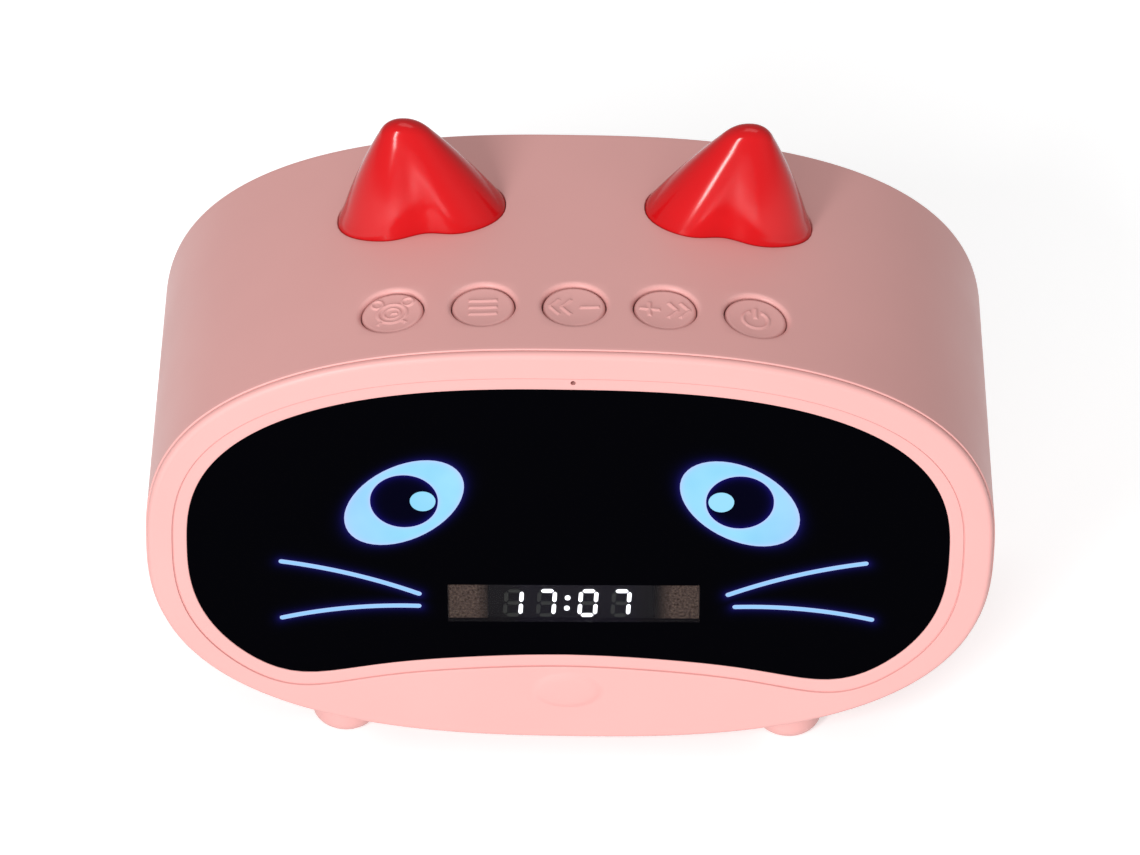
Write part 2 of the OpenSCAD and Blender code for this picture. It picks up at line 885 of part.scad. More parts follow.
speaker_route = [
    [7, 45.5, -12.5], [7, 44.8, -15], [7, 43.6, -18], [7, 43, -21], [7, 43, -24], [7, 43, -25.95]
];

module speaker_leads() {
    color([0.75, 0.1, 0.1]) in_body() wire(speaker_route, 0.5);
    color(black) in_body() wire([for (p = speaker_route) p + [1.6, 0, 0]], 0.5);
}

module rear_cover() {
    color(pink) in_body() difference() {
        union() {
            slab(cover_front, cover_back) polygon(body_outline(wall + gap));
            for (sx = [-1, 1], sz = [-1, 1])
                rod(sx * speaker_corner, speaker_z + sz * speaker_corner, flange_back, cover_front + 1, 2.4);
        }
        for (k = [0 : grille_rings], j = [0 : max(0, 6 * k - 1)])
            let (a = 360 * j / max(1, 6 * k))
                rod(grille_pitch * k * cos(a), speaker_z + grille_pitch * k * sin(a), 45, 60, grille_hole_r);
        slab(45, 60) translate([usb_x, main_top + usb_h / 2]) rounded_rect(usb_w + 0.5, usb_h + 0.5, 1.5);
        rod(0, jack_z, 45, 60, 3);
        slab(45, 60) translate([card_x, main_top + card_h / 2])
            square([card_w + 0.5, card_h + 0.5], center = true);
        for (p = cover_fix) {
            rod(p[0], p[1], 45, 60, large[4]);
            rod(p[0], p[1], cover_back - large[1] - 0.1, 60, large[0] + 0.2);
        }
        for (sx = [-1, 1], sz = [-1, 1])
            rod(sx * speaker_corner, speaker_z + sz * speaker_corner, 45, cover_back - 0.8, small[3]);
    }
}

// ---------- ears and feet ----------

// Half width at height z of a bowed flank that rises from base and closes in a round top of radius r
function flank(base, r, z) =
    let (
        middle = ear_top - r,
        rise = middle - ear_base_z,
        a = acos(r / norm([base, rise])) - atan2(rise, base),
        meet = middle + r * sin(a),
        f = (z - ear_base_z) / (meet - ear_base_z)
    )
        z > meet ? sqrt(max(0, r * r - pow(z - middle, 2)))
            : base + (r * cos(a) - base) * f + 4 * ear_bow * max(0, f * (1 - f));

// Point of an ear's skin at height z and angle t, grown by g; its front has a shallow hollow
function ear_at(side, z, t, g) =
    let (
        h = (z - ear_base_z) / (ear_top - ear_base_z),
        u = signed_power(cos(t), 0.9),
        v = signed_power(sin(t), 0.9),
        dent = ear_hollow * min(1, max(0, 1 - h / 0.8)) * exp(-pow(u / 0.3, 2)) * max(0, -sin(t))
    )
        [
            side * (ear_x + ear_lean[0] * h + (flank(ear_half, ear_round[0], z) + g) * u),
            ear_y + ear_lean[1] * h + (flank(ear_depth, ear_round[1], z) + g) * v + dent,
            z
        ];

// Point where an ear's skin meets the shell's top, found in a few steps
function ear_foot(side, t, g, z = ear_base_z, steps = 5) =
    let (p = ear_at(side, z, t, g))
        steps == 0 ? p : ear_foot(side, t, g, top_z(p[0]), steps - 1);

function ear_angle(side, i) = side * 360 * i / ear_points;

function ear_outline(side, g) = [
    for (i = [0 : ear_points - 1])
        let (p = ear_foot(side, ear_angle(side, i), g)) [p[0], p[1]]
];

// Ring of the skin a share f of the way from the shell's top to the ear's
function ear_ring(side, f) = [
    for (i = [0 : ear_points - 1])
        let (t = ear_angle(side, i), z0 = ear_foot(side, t, 0)[2])
            ear_at(side, z0 + (ear_top - 0.03 - z0) * f, t, 0)
];

// Ear solid: a straight foot in the pocket, then flanks that close in a round top
module ear_solid(side) {
    loft([
        [for (p = ear_outline(side, 0)) [p[0], p[1], ear_low]],
        for (k = [0 : ear_rings]) ear_ring(side, 1 - pow(1 - k / ear_rings, 2))
    ]);
}

module ear(side) {
    core_x = side * (ear_x + 1);
    color(red) in_body() difference() {
        ear_solid(side);
        slab(-1, body_length + 1) polygon(body_outline(0.58));
        for (x = ear_fix) post(side * x, ear_y, 30, 41, small[3]);
        translate([core_x, ear_y + 0.3, 30]) cylinder(h = 18, r1 = 3, r2 = 2);
    }
}

module ear_left() {
    ear(-1);
}

module ear_right() {
    ear(1);
}

module foot(sx, y) {
    color(pink) in_body() translate([sx * foot_x, y, -body_z]) {
        difference() {
            rotate_extrude() {
                square([foot_r - foot_round, 12]);
                translate([0, foot_round]) square([foot_r, 12 - foot_round]);
                translate([foot_r - foot_round, foot_round]) intersection() {
                    circle(r = foot_round);
                    translate([0, -foot_round]) square([foot_round, foot_round * 2]);
                }
            }
            translate([-sx * foot_x, -y, body_z]) slab(-10, body_length + 10) polygon(body_outline(0));
        }
        translate([0, 0, 4]) cylinder(h = body_z - 32.4 - 4, r = peg_r);
    }
}

module foot_front_left() {
    foot(-1, foot_front_y);
}

module foot_front_right() {
    foot(1, foot_front_y);
}

module foot_rear_left() {
    foot(-1, foot_rear_y);
}

module foot_rear_right() {
    foot(1, foot_rear_y);
}

// ---------- screws ----------

// Screw standing on its head seat at the origin, head above, shank below, with a cross recess
module screw(kind, len) {
    difference() {
        cylinder(h = kind[1], r = kind[0]);
        for (a = [0, 90]) rotate(a) translate([0, 0, kind[1]]) cube([kind[0] * 1.1, 0.4, 1], center = true);
    }
    translate([0, 0, -len]) cylinder(h = len, r = kind[2]);
}

module case_screws() {
    color(steel) in_body() for (p = cover_fix)
        translate([p[0], cover_back - large[1] - 0.1, p[1]]) rotate([-90, 0, 0]) screw(large, 9);
}

module small_screws() {
    color(steel) in_body() {
        for (p = bezel_fix) translate([p[0], bezel_seat, p[1]]) rotate([-90, 0, 0]) screw(small, 7);
        for (p = box_fix) translate([p[0], tongue_end, p[1]]) rotate([-90, 0, 0]) screw(small, 3.2);
        for (p = face_fix) translate([p[0], box_end + board_t, p[1]]) rotate([-90, 0, 0]) screw(small, 5.5);
        for (p = key_fix) translate([p[0], p[1], key_board_z]) rotate([180, 0, 0]) screw(small, 6);
        for (p = main_fix) translate([p[0], p[1], main_top]) screw(small, 5.5);
        for (p = tray_fix) translate([p[0], p[1], tray_z + board_t + 0.4]) screw(small, 4.2);
        for (s = [-1, 1], x = ear_fix) translate([s * x, ear_y, 33.6]) rotate([180, 0, 0]) screw(small, 7);
        for (sx = [-1, 1], sz = [-1, 1])
            translate([sx * speaker_corner, flange_front, speaker_z + sz * speaker_corner])
                rotate([90, 0, 0]) screw(small, 3.2);
    }
}

body_shell();
front_bezel();
rear_cover();
face_panel();
eye_diffuser_left();
eye_diffuser_right();
pupil_discs();
whisker_guides_left();
whisker_guides_right();
display_window();
display_foam();
display_module();
segments_lit();
segments_off();
light_box();
face_board();
face_leds();
microphone();
microphone_board();
alarm_button();
mode_button();
back_button();
forward_button();
power_button();
alarm_plunger();
mode_plunger();
back_plunger();
forward_plunger();
power_plunger();
key_switches();
key_board();
main_board();
main_chips();
usb_socket();
audio_socket();
card_socket();
battery_cell();
battery_tray();
battery_leads();
speaker_frame();
speaker_top_plate();
speaker_magnet();
speaker_yoke();
speaker_cone();
speaker_dust_cap();
speaker_voice_coil();
speaker_surround();
speaker_spider();
speaker_gasket();
grille_cloth();
speaker_leads();
ear_left();
ear_right();
foot_front_left();
foot_front_right();
foot_rear_left();
foot_rear_right();
case_screws();
small_screws();
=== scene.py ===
"""Looks of the cat-face digital clock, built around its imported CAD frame.

Shapes are worked out in millimetres in the body's own axes: x to the right, y back from the
shell's front rim and z up from the body's centre. place() turns them into the frame's metres.
"""

import json
import math
from functools import partial

import bmesh
import bpy
import numpy as np
from mathutils import Matrix, Vector

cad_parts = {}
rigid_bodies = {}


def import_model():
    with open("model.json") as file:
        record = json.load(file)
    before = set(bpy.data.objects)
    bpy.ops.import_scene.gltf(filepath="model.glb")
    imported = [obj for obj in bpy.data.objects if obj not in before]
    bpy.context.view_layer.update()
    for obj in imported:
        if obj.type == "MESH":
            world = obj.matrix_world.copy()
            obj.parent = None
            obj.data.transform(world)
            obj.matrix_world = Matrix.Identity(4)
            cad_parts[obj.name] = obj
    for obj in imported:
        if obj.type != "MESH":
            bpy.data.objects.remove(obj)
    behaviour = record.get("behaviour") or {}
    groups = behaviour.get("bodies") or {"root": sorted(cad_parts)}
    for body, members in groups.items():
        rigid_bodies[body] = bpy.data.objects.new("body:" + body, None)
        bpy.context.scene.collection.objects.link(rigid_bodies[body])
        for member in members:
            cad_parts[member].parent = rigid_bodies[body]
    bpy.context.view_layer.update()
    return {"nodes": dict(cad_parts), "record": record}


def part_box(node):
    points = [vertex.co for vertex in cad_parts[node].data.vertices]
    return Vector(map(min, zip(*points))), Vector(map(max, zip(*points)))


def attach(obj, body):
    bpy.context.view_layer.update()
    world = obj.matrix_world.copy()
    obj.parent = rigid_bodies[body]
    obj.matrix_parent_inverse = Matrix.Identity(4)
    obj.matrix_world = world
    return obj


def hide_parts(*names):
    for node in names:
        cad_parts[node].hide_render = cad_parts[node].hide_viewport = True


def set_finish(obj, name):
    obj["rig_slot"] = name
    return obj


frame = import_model()
MM = 0.001
SHARP = 40

# ---------- sizes, from the frame and in millimetres ----------

shell_low, shell_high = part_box("body_shell")
FRONT_Y = shell_low.y / MM
LENGTH = (shell_high.y - shell_low.y) / MM
HALF_W = (shell_high.x - shell_low.x) / 2 / MM
HALF_H = (shell_high.z - shell_low.z) / 2 / MM
BODY_Z = (shell_high.z + shell_low.z) / 2 / MM
PROUD = (shell_low.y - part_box("front_bezel")[0].y) / MM
PANEL_BACK = (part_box("face_panel")[1].y - shell_low.y) / MM
EAR_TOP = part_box("ear_left")[1].z / MM - BODY_Z

BODY_POWER = 2.56
WALL = 2.0
DRAFT = 0.5
BUMP_PROUD = 0.4
BEZEL_PROUD = PROUD - BUMP_PROUD
SEAM = 0.25

FACE_HALF_W = 58.4
FACE_POWER = 2.59
FACE_X, FACE_Z, FACE_RISE, FACE_DROP = -0.3, 0.05, 31.68, 33.12
CHIN_RISE, CHIN_WIDTH, CHIN_POWER, CHIN_SAG = 11.64, 41.8, 6.8, 0.74
STEP_GROW, STEP_DEPTH = 2.15, 0.2
LEDGE_W, LEDGE_T = 1.5, 1.0
BUMP_Z = -28.45
BUMP_HALF = (5.2, 3.45)
MIC_Z, MIC_R = 33.1, 0.4

FACE_TURN = math.radians(0.85)
EYE_X, EYE_Z, EYE_SHIFT = 25.6, 9.3, 0.15
EYE_LONG, EYE_SHORT = 10.45, 6.85
EYE_TILT = math.radians(39.2)
PUPIL_Z, PUPIL_R = 9.6, 5.2
WHISKERS = ((23.79, -9.02, 44.84, -2.56, 0.75, 0.38), (24.37, -11.49, 45.46, -13.98, 0.83, 0.9))
WHISKER_W = 0.85
WINDOW_X, MODULE_W = 0.4, 25.5

KEYS = ("alarm", "mode", "back", "forward", "power")
KEY_PITCH, KEY_Y = 13.8, 11.0
KEY_R, KEY_HOLE_R = 4.75, 4.95
KEY_SINK = 0.5
HOLE_ROUND, RIM_ROUND = 0.7, 0.15
CAP_ROUND, CAP_DISH, CAP_DEEP = 0.6, 0.16, 2.4
FLANGE_W, FLANGE_T = 0.9, 1.0
STEM_R = 1.6
LEGEND_SCALE = 1.12
LEGEND_RISE, LEGEND_SOFT = 0.22, 0.34

EAR_X, EAR_Y = 22.7, 35.6
EAR_HALF, EAR_DEPTH = 12.9, 7.75
EAR_ROUND = (4.8, 2.2)
EAR_BOW = 0.4
EAR_LEAN = (3.8, 0.3)
EAR_HOLLOW = 1.5
EAR_BASE_Z = 37.0
EAR_GAP = 0.12

FOOT_ROUND, FOOT_TALL = 2.5, 9.5

# the shell's grid: cells across one key's window, and the columns and rows of an ear's
KEY_CELLS = 12
EAR_COLUMNS, EAR_ROWS = (6, 34), 21
KEY_TO_EAR_ROWS = 5
CELL = KEY_PITCH / KEY_CELLS


# ---------- mesh helpers ----------

def place(points):
    """Body points in millimetres as frame points in metres."""
    return (np.asarray(points, float) + (0, FRONT_Y, BODY_Z)) * MM


def new_piece(name, points, faces, body="housing", sharp=35):
    """A smooth-shaded mesh object from body points, which rides on a body."""
    mesh = bpy.data.meshes.new(name)
    mesh.from_pydata([tuple(p) for p in place(points)], [], [tuple(int(i) for i in f) for f in faces])
    mesh.validate()
    mesh.shade_smooth()
    mesh.set_sharp_from_angle(angle=math.radians(sharp))
    piece = bpy.data.objects.new(name, mesh)
    bpy.context.scene.collection.objects.link(piece)
    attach(piece, body)
    return piece


def apply_modifiers(piece):
    """Turns a piece's modifiers into plain mesh."""
    graph = bpy.context.evaluated_depsgraph_get()
    mesh = bpy.data.meshes.new_from_object(piece.evaluated_get(graph))
    piece.modifiers.clear()
    piece.data = mesh
    mesh.shade_smooth()
    mesh.set_sharp_from_angle(angle=math.radians(SHARP))


def signed_power(v, e):
    return np.sign(v) * np.abs(v) ** e


def superellipse(a, b, n, t):
    return np.stack([a * signed_power(np.cos(t), 2 / n), b * signed_power(np.sin(t), 2 / n)], -1)


def even_angles(a, b, n, count):
    """Angles at which the points of a superellipse lie evenly along it."""
    t = np.linspace(0, 2 * math.pi, 20001)
    p = superellipse(a, b, n, t)
    run = np.concatenate([[0], np.cumsum(np.linalg.norm(np.diff(p, axis=0), axis=1))])
    return np.interp(np.linspace(0, run[-1], count, endpoint=False), run, t)


def loop_faces(rings, count, closed=False):
    """Quads between rings of count points each."""
    faces = []
    for j in range(rings if closed else rings - 1):
        k = (j + 1) % rings
        for i in range(count):
            m = (i + 1) % count
            faces.append((j * count + i, j * count + m, k * count + m, k * count + i))
    return faces


# ---------- body shell ----------

def inset(y):
    """How far the shell has drawn in at depth y."""
    return DRAFT * np.clip(y, 0, LENGTH) / LENGTH


def top_z(x):
    return HALF_H * (1 - (np.abs(x) / HALF_W) ** BODY_POWER) ** (1 / BODY_POWER)


def on_shell(x, z, y):
    """A point of the front outline carried back to y along the shell's draft."""
    d = inset(y)
    return np.stack([x * (1 - d / HALF_W), y + 0 * x, z * (1 - d / HALF_H)], -1)


def flank(base, r, z):
    """Half width at height z of an ear's bowed flank, from base up to a round top of radius r."""
    middle = EAR_TOP - r
    rise = middle - EAR_BASE_Z
    a = math.acos(r / math.hypot(base, rise)) - math.atan2(rise, base)
    meet = middle + r * math.sin(a)
    f = (z - EAR_BASE_Z) / (meet - EAR_BASE_Z)
    line = base + (r * math.cos(a) - base) * f + 4 * EAR_BOW * np.maximum(0, f * (1 - f))
    return np.where(z > meet, np.sqrt(np.maximum(r * r - (z - middle) ** 2, 0)), line)


def ear_at(side, z, t, grow=0.0):
    """x and y of an ear's skin at height z and angle t; its front has a shallow hollow."""
    h = (z - EAR_BASE_Z) / (EAR_TOP - EAR_BASE_Z)
    u, v = signed_power(np.cos(t), 0.9), signed_power(np.sin(t), 0.9)
    dent = EAR_HOLLOW * np.clip(1 - h / 0.8, 0, 1) * np.exp(-(u / 0.3) ** 2) * np.maximum(0, -np.sin(t))
    x = side * (EAR_X + EAR_LEAN[0] * h + (flank(EAR_HALF, EAR_ROUND[0], z) + grow) * u)
    y = EAR_Y + EAR_LEAN[1] * h + (flank(EAR_DEPTH, EAR_ROUND[1], z) + grow) * v + dent
    return x, y


def shell_top(x, y):
    """Height of the shell's top at x and y."""
    d = inset(y)
    return top_z(x / (1 - d / HALF_W)) * (1 - d / HALF_H)


def ear_foot(side, t, grow=0.0):
    """Where an ear's skin meets the shell's top, at each angle: x, y and z."""
    z = np.full(len(t), EAR_BASE_Z)
    for _ in range(6):
        x, y = ear_at(side, z, t, grow)
        z = shell_top(x, y)
    return x, y, z


def window_patch(grid, box, hole, rings):
    """Fills a window of the grid with quads that run from its border to a hole's edge.

    box is (column0, column1, row0, row1), and hole takes the border's points and gives as many points
    of the hole's edge in the same directions, as x, y."""
    c0, c1, r0, r1 = box
    border = (
        [(c, r0) for c in range(c0, c1)] + [(c1, r) for r in range(r0, r1)]
        + [(c, r1) for c in range(c1, c0, -1)] + [(c0, r) for r in range(r1, r0, -1)]
    )
    outer = np.array([grid.xy(c, r) for c, r in border])
    inner = hole(outer)
    numbers = [grid.number(c, r) for c, r in border]
    n = len(border)
    for k in range(1, rings + 1):
        f = k / rings
        ring = [grid.add(*p) for p in outer * (1 - f) + inner * f]
        for i in range(n):
            m = (i + 1) % n
            grid.faces.append((numbers[i], numbers[m], ring[m], ring[i]))
        numbers = ring


class ShellGrid:
    """The shell's outer skin: columns round the outline and rows along y."""

    def __init__(self, top_columns, rows):
        edge = top_columns * CELL
        quarter = 10000
        t = np.linspace(0, 2 * math.pi, 4 * quarter + 1)
        p = superellipse(HALF_W, HALF_H, BODY_POWER, t)
        start = np.argmin(np.abs(p[:2 * quarter + 1, 0] + edge))
        stop = np.argmin(np.abs(p[:quarter, 0] - edge))
        path = np.concatenate([p[start:-1], p[:stop + 1]])
        run = np.concatenate([[0], np.cumsum(np.linalg.norm(np.diff(path, axis=0), axis=1))])
        steps = int(run[-1] / CELL)
        s = np.linspace(0, run[-1], steps + 1)[1:-1]
        side = np.stack([np.interp(s, run, path[:, 0]), np.interp(s, run, path[:, 1])], -1)
        x = np.arange(-top_columns, top_columns + 1) * CELL
        self.outline = np.concatenate([np.stack([x, top_z(x)], -1), side[::-1]])
        self.rows = rows
        self.count = len(self.outline)
        skin = [on_shell(*self.outline.T, np.full(self.count, y)) for y in rows]
        self.points = list(np.concatenate(skin))
        self.faces = []

    def number(self, c, r):
        return r * self.count + c

    def xy(self, c, r):
        return self.outline[c, 0], self.rows[r]

    def add(self, x, y):
        """A vertex of the skin's top at front-outline x and depth y."""
        self.points.append(on_shell(np.array(x), top_z(x), np.array(y)))
        return len(self.points) - 1

    def fill(self, windows):
        """Quads everywhere but in the windows."""
        for r in range(len(self.rows) - 1):
            for c in range(self.count):
                if any(b[0] <= c < b[1] and b[2] <= r < b[3] for b in windows):
                    continue
                d = (c + 1) % self.count
                corners = ((c, r), (d, r), (d, r + 1), (c, r + 1))
                self.faces.append(tuple(self.number(*corner) for corner in corners))


def key_x(index):
    return (index - 2) * KEY_PITCH


def key_tilt(index):
    """Slope of the shell's top under a key."""
    x = key_x(index)
    return math.atan((top_z(x - 0.05) - top_z(x + 0.05)) / 0.1)


def at_key_hole(x, y):
    away = [abs(math.hypot(x - key_x(i), y - KEY_Y) - KEY_HOLE_R) for i in range(len(KEYS))]
    return min(away) < 0.6


def weigh_edges(piece):
    """Marks sharp edges for rounding: the key holes' outer edges fully and all others less."""
    bm = bmesh.new()
    bm.from_mesh(piece.data)
    layer = bm.edges.layers.float.new("bevel_weight_edge")
    least_turn = math.radians(50)
    for edge in bm.edges:
        if len(edge.link_faces) != 2 or edge.calc_face_angle() < least_turn:
            continue
        middle = (edge.verts[0].co + edge.verts[1].co) / 2 / MM
        x, y, z = middle.x, middle.y - FRONT_Y, middle.z - BODY_Z
        outer = z > 0 and z > shell_top(np.array(x), np.array(y)) - WALL / 2
        edge[layer] = 1.0 if outer and at_key_hole(x, y) else RIM_ROUND / HOLE_ROUND
    bm.to_mesh(piece.data)
    bm.free()


def key_hole(index, outer):
    """Points of a key hole's edge in the directions of the outer points."""
    v = outer - (key_x(index), KEY_Y)
    v = v / np.linalg.norm(v, axis=1)[:, None]
    across = KEY_HOLE_R * v[:, 0] * math.cos(key_tilt(index))
    return np.stack([key_x(index) + across, KEY_Y + KEY_HOLE_R * v[:, 1]], -1)


def ear_hole(side, outer):
    """Points of an ear hole's edge in the directions of the outer points."""
    x, y, _ = ear_foot(side, np.linspace(0, 2 * math.pi, 720, endpoint=False), EAR_GAP)
    x = x / (1 - inset(y) / HALF_W)
    centre = np.array([side * (EAR_X + 0.4), EAR_Y])
    edge_angle = np.arctan2(y - centre[1], x - centre[0])
    order = np.argsort(edge_angle)
    squeeze = 0.72
    a = np.arctan2(outer[:, 1] - centre[1], (outer[:, 0] - centre[0]) * squeeze)
    ex = np.interp(a, edge_angle[order], x[order], period=2 * math.pi)
    ey = np.interp(a, edge_angle[order], y[order], period=2 * math.pi)
    return np.stack([ex, ey], -1)


def body_shell():
    middle = EAR_COLUMNS[1]
    reach = KEY_CELLS // 2
    first = KEY_Y - reach * CELL
    key_rows = first + np.arange(KEY_CELLS + 1) * CELL
    front = np.linspace(0, first, 6)[:-1]
    back = key_rows[-1] + np.arange(1, 29) * CELL
    rest = np.linspace(back[-1], LENGTH, 5)[1:]
    grid = ShellGrid(middle, np.concatenate([front, key_rows, back, rest]))
    row0 = len(front)
    jobs = []
    for i in range(len(KEYS)):
        c = middle + (i - 2) * KEY_CELLS
        jobs.append(((c - reach, c + reach, row0, row0 + KEY_CELLS), partial(key_hole, i), 2))
    row0 += KEY_CELLS + KEY_TO_EAR_ROWS
    for side in (-1, 1):
        c0, c1 = sorted(middle + side * c for c in EAR_COLUMNS)
        jobs.append(((c0, c1, row0, row0 + EAR_ROWS), partial(ear_hole, side), 6))
    grid.fill([job[0] for job in jobs])
    for box, edge, rings in jobs:
        window_patch(grid, box, edge, rings)
    piece = new_piece("shell_skin", grid.points, grid.faces)
    thick = piece.modifiers.new("wall", "SOLIDIFY")
    thick.thickness = WALL * MM
    thick.offset = -1
    thick.use_even_offset = True
    apply_modifiers(piece)
    weigh_edges(piece)
    round_edge = piece.modifiers.new("edges", "BEVEL")
    round_edge.width = HOLE_ROUND * MM
    round_edge.segments = 5
    round_edge.limit_method = "WEIGHT"
    round_edge.use_clamp_overlap = False
    apply_modifiers(piece)
    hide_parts("body_shell")
    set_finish(piece, "shell_pink")


# ---------- front bezel ----------

def face_outline(grow, t):
    """The face opening grown outward: round on top, two cheeks below with a hollow between them."""
    p = superellipse(FACE_HALF_W + grow, 1, FACE_POWER, t)
    u = np.abs(p[:, 0]) / CHIN_WIDTH
    chin = (1 - CHIN_SAG * u ** 2) * np.exp(-u ** CHIN_POWER) * np.minimum(1, -20 * p[:, 1])
    high = FACE_Z + (FACE_RISE + grow) * p[:, 1]
    low = FACE_Z + (FACE_DROP + grow) * p[:, 1] + CHIN_RISE * chin
    return np.stack([p[:, 0] + FACE_X, np.where(p[:, 1] >= 0, high, low)], -1)


def body_outline(inward, t):
    """The shell's front outline moved inward."""
    return superellipse(HALF_W - inward, HALF_H - inward, BODY_POWER, t)


def front_bezel():
    """Rings from the ledge behind the panel out over the front face and back into the neck."""
    count = 720
    t = even_angles(HALF_W, HALF_H, BODY_POWER, count)
    front = -BEZEL_PROUD
    edge_r = 0.85
    rings = []

    def ring(outline, y):
        rings.append(np.column_stack([outline[:, 0], np.full(count, y), outline[:, 1]]))

    band = front + STEP_DEPTH
    lip, groove = 0.15, 0.15
    ring(face_outline(-LEDGE_W, t), PANEL_BACK + LEDGE_T)
    ring(face_outline(-LEDGE_W, t), PANEL_BACK)
    ring(face_outline(0, t), PANEL_BACK)
    for a in np.linspace(0, math.pi / 2, 4):
        ring(face_outline(lip * (1 - math.cos(a)), t), band + lip * (1 - math.sin(a)))
    for grow in np.linspace(lip, STEP_GROW - 0.1, 6)[1:]:
        ring(face_outline(grow, t), band)
    for more, y in ((0, band + groove), (0.08, band + groove), (0.14, front + 0.04)):
        ring(face_outline(STEP_GROW + more, t), y)
    inner = face_outline(STEP_GROW + 0.2, t)
    outer = body_outline(SEAM + edge_r, t)
    for f in np.linspace(0, 1, 56):
        ring(inner * (1 - f) + outer * f, front)
    for a in np.linspace(0, math.pi / 2, 8)[1:]:
        ring(body_outline(SEAM + edge_r * (1 - math.sin(a)), t), front + edge_r * (1 - math.cos(a)))
    for inward, y in ((SEAM, -0.16), (SEAM + 0.08, -0.08), (SEAM + 0.7, -0.06)):
        ring(body_outline(inward, t), y)
    neck, neck_t, neck_back = WALL + 0.15, 1.4, 5.0
    ring(body_outline(neck, t), -0.02)
    ring(body_outline(neck, t), neck_back)
    ring(body_outline(neck + neck_t, t), neck_back)
    ring(body_outline(neck + neck_t, t), PANEL_BACK + LEDGE_T)
    points = np.concatenate(rings)
    raise_bump(points)
    piece = new_piece("bezel_skin", points, loop_faces(len(rings), count, closed=True), sharp=SHARP)
    cut_round(piece, (0, MIC_Z), MIC_R, -3, 1.2)
    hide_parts("front_bezel")
    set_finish(piece, "shell_pink")


def raise_bump(points):
    """Lifts the bezel's face into the low oval button shape on its chin."""
    r = np.hypot(points[:, 0] / BUMP_HALF[0], (points[:, 2] - BUMP_Z) / BUMP_HALF[1])
    on_face = points[:, 1] < -BEZEL_PROUD + 0.05
    dome = np.clip(1 - r ** 5, 0, 1) ** 0.7 * BUMP_PROUD
    points[:, 1] -= np.where(on_face, dome, 0)


def cut_round(piece, centre, radius, y0, y1):
    """Drills a round hole along y."""
    t = np.linspace(0, 2 * math.pi, 32, endpoint=False)
    ring = np.stack([centre[0] + radius * np.cos(t), 0 * t, centre[1] + radius * np.sin(t)], -1)
    low, high = ring + (0, y0, 0), ring + (0, y1, 0)
    faces = loop_faces(2, 32) + [tuple(range(32))[::-1], tuple(range(32, 64))]
    cutter = new_piece("cutter", np.concatenate([low, high]), faces)
    bm = bmesh.new()
    bm.from_mesh(cutter.data)
    bmesh.ops.recalc_face_normals(bm, faces=bm.faces)
    bm.to_mesh(cutter.data)
    bm.free()
    cut = piece.modifiers.new("drill", "BOOLEAN")
    cut.object = cutter
    cut.operation = "DIFFERENCE"
    cut.solver = "EXACT"
    apply_modifiers(piece)
    bpy.data.objects.remove(cutter)


# ---------- keys ----------

def box_distance(x, y, cx, cy, w, h, turn=0.0):
    """Distance from points to a bar's edge, negative inside."""
    c, s = math.cos(turn), math.sin(turn)
    u, v = c * (x - cx) + s * (y - cy), -s * (x - cx) + c * (y - cy)
    dx, dy = np.abs(u) - w / 2, np.abs(v) - h / 2
    return np.hypot(np.maximum(dx, 0), np.maximum(dy, 0)) + np.minimum(np.maximum(dx, dy), 0)


def ring_distance(x, y, cx, cy, r, w):
    return np.abs(np.hypot(x - cx, y - cy) - r) - w / 2


def chevron_distance(x, y, tip, way):
    """Distance from a V lying on its side, which opens along x by way."""
    arm, slope = 2.0, math.radians(52)
    cx, cy = tip + way * arm / 2 * math.cos(slope), arm / 2 * math.sin(slope)
    return np.minimum(*[box_distance(x, y, cx, s * cy, arm, 0.42, way * s * slope) for s in (-1, 1)])


def alarm_symbol(x, y):
    d = ring_distance(x, y, 0, -0.1, 1.95, 0.42)
    d = np.minimum(d, ring_distance(x, y, 0, -0.1, 1.1, 0.25))
    d = np.minimum(d, box_distance(x, y, 0.3, -0.1, 0.9, 0.3))
    for s in (-1, 1):
        d = np.minimum(d, ring_distance(x, y, s * 2.05, 2.0, 0.75, 0.34))
        d = np.minimum(d, box_distance(x, y, s * 1.65, -2.05, 0.4, 0.8, s * 0.7))
    return d


def mode_symbol(x, y):
    return np.min([box_distance(x, y, 0, v, 3.8, 0.5) for v in (-1.4, 0, 1.4)], axis=0)


def back_symbol(x, y):
    parts = [chevron_distance(x, y, tip, 1) for tip in (-3.3, -1.7)]
    return np.min(parts + [box_distance(x, y, 2.1, 0, 2.6, 0.45)], axis=0)


def forward_symbol(x, y):
    parts = [chevron_distance(x, y, tip, -1) for tip in (3.3, 1.7)]
    parts += [box_distance(x, y, -2.1, 0, 2.8, 0.45), box_distance(x, y, -2.1, 0, 0.45, 2.8)]
    return np.min(parts, axis=0)


def power_symbol(x, y):
    d = ring_distance(x, y, 0, -0.2, 1.75, 0.45)
    gap = box_distance(x, y, 0, 1.6, 1.5, 2.2)
    return np.minimum(np.maximum(d, -gap), box_distance(x, y, 0, 1.1, 0.45, 2.0))


SYMBOLS = (alarm_symbol, mode_symbol, back_symbol, forward_symbol, power_symbol)


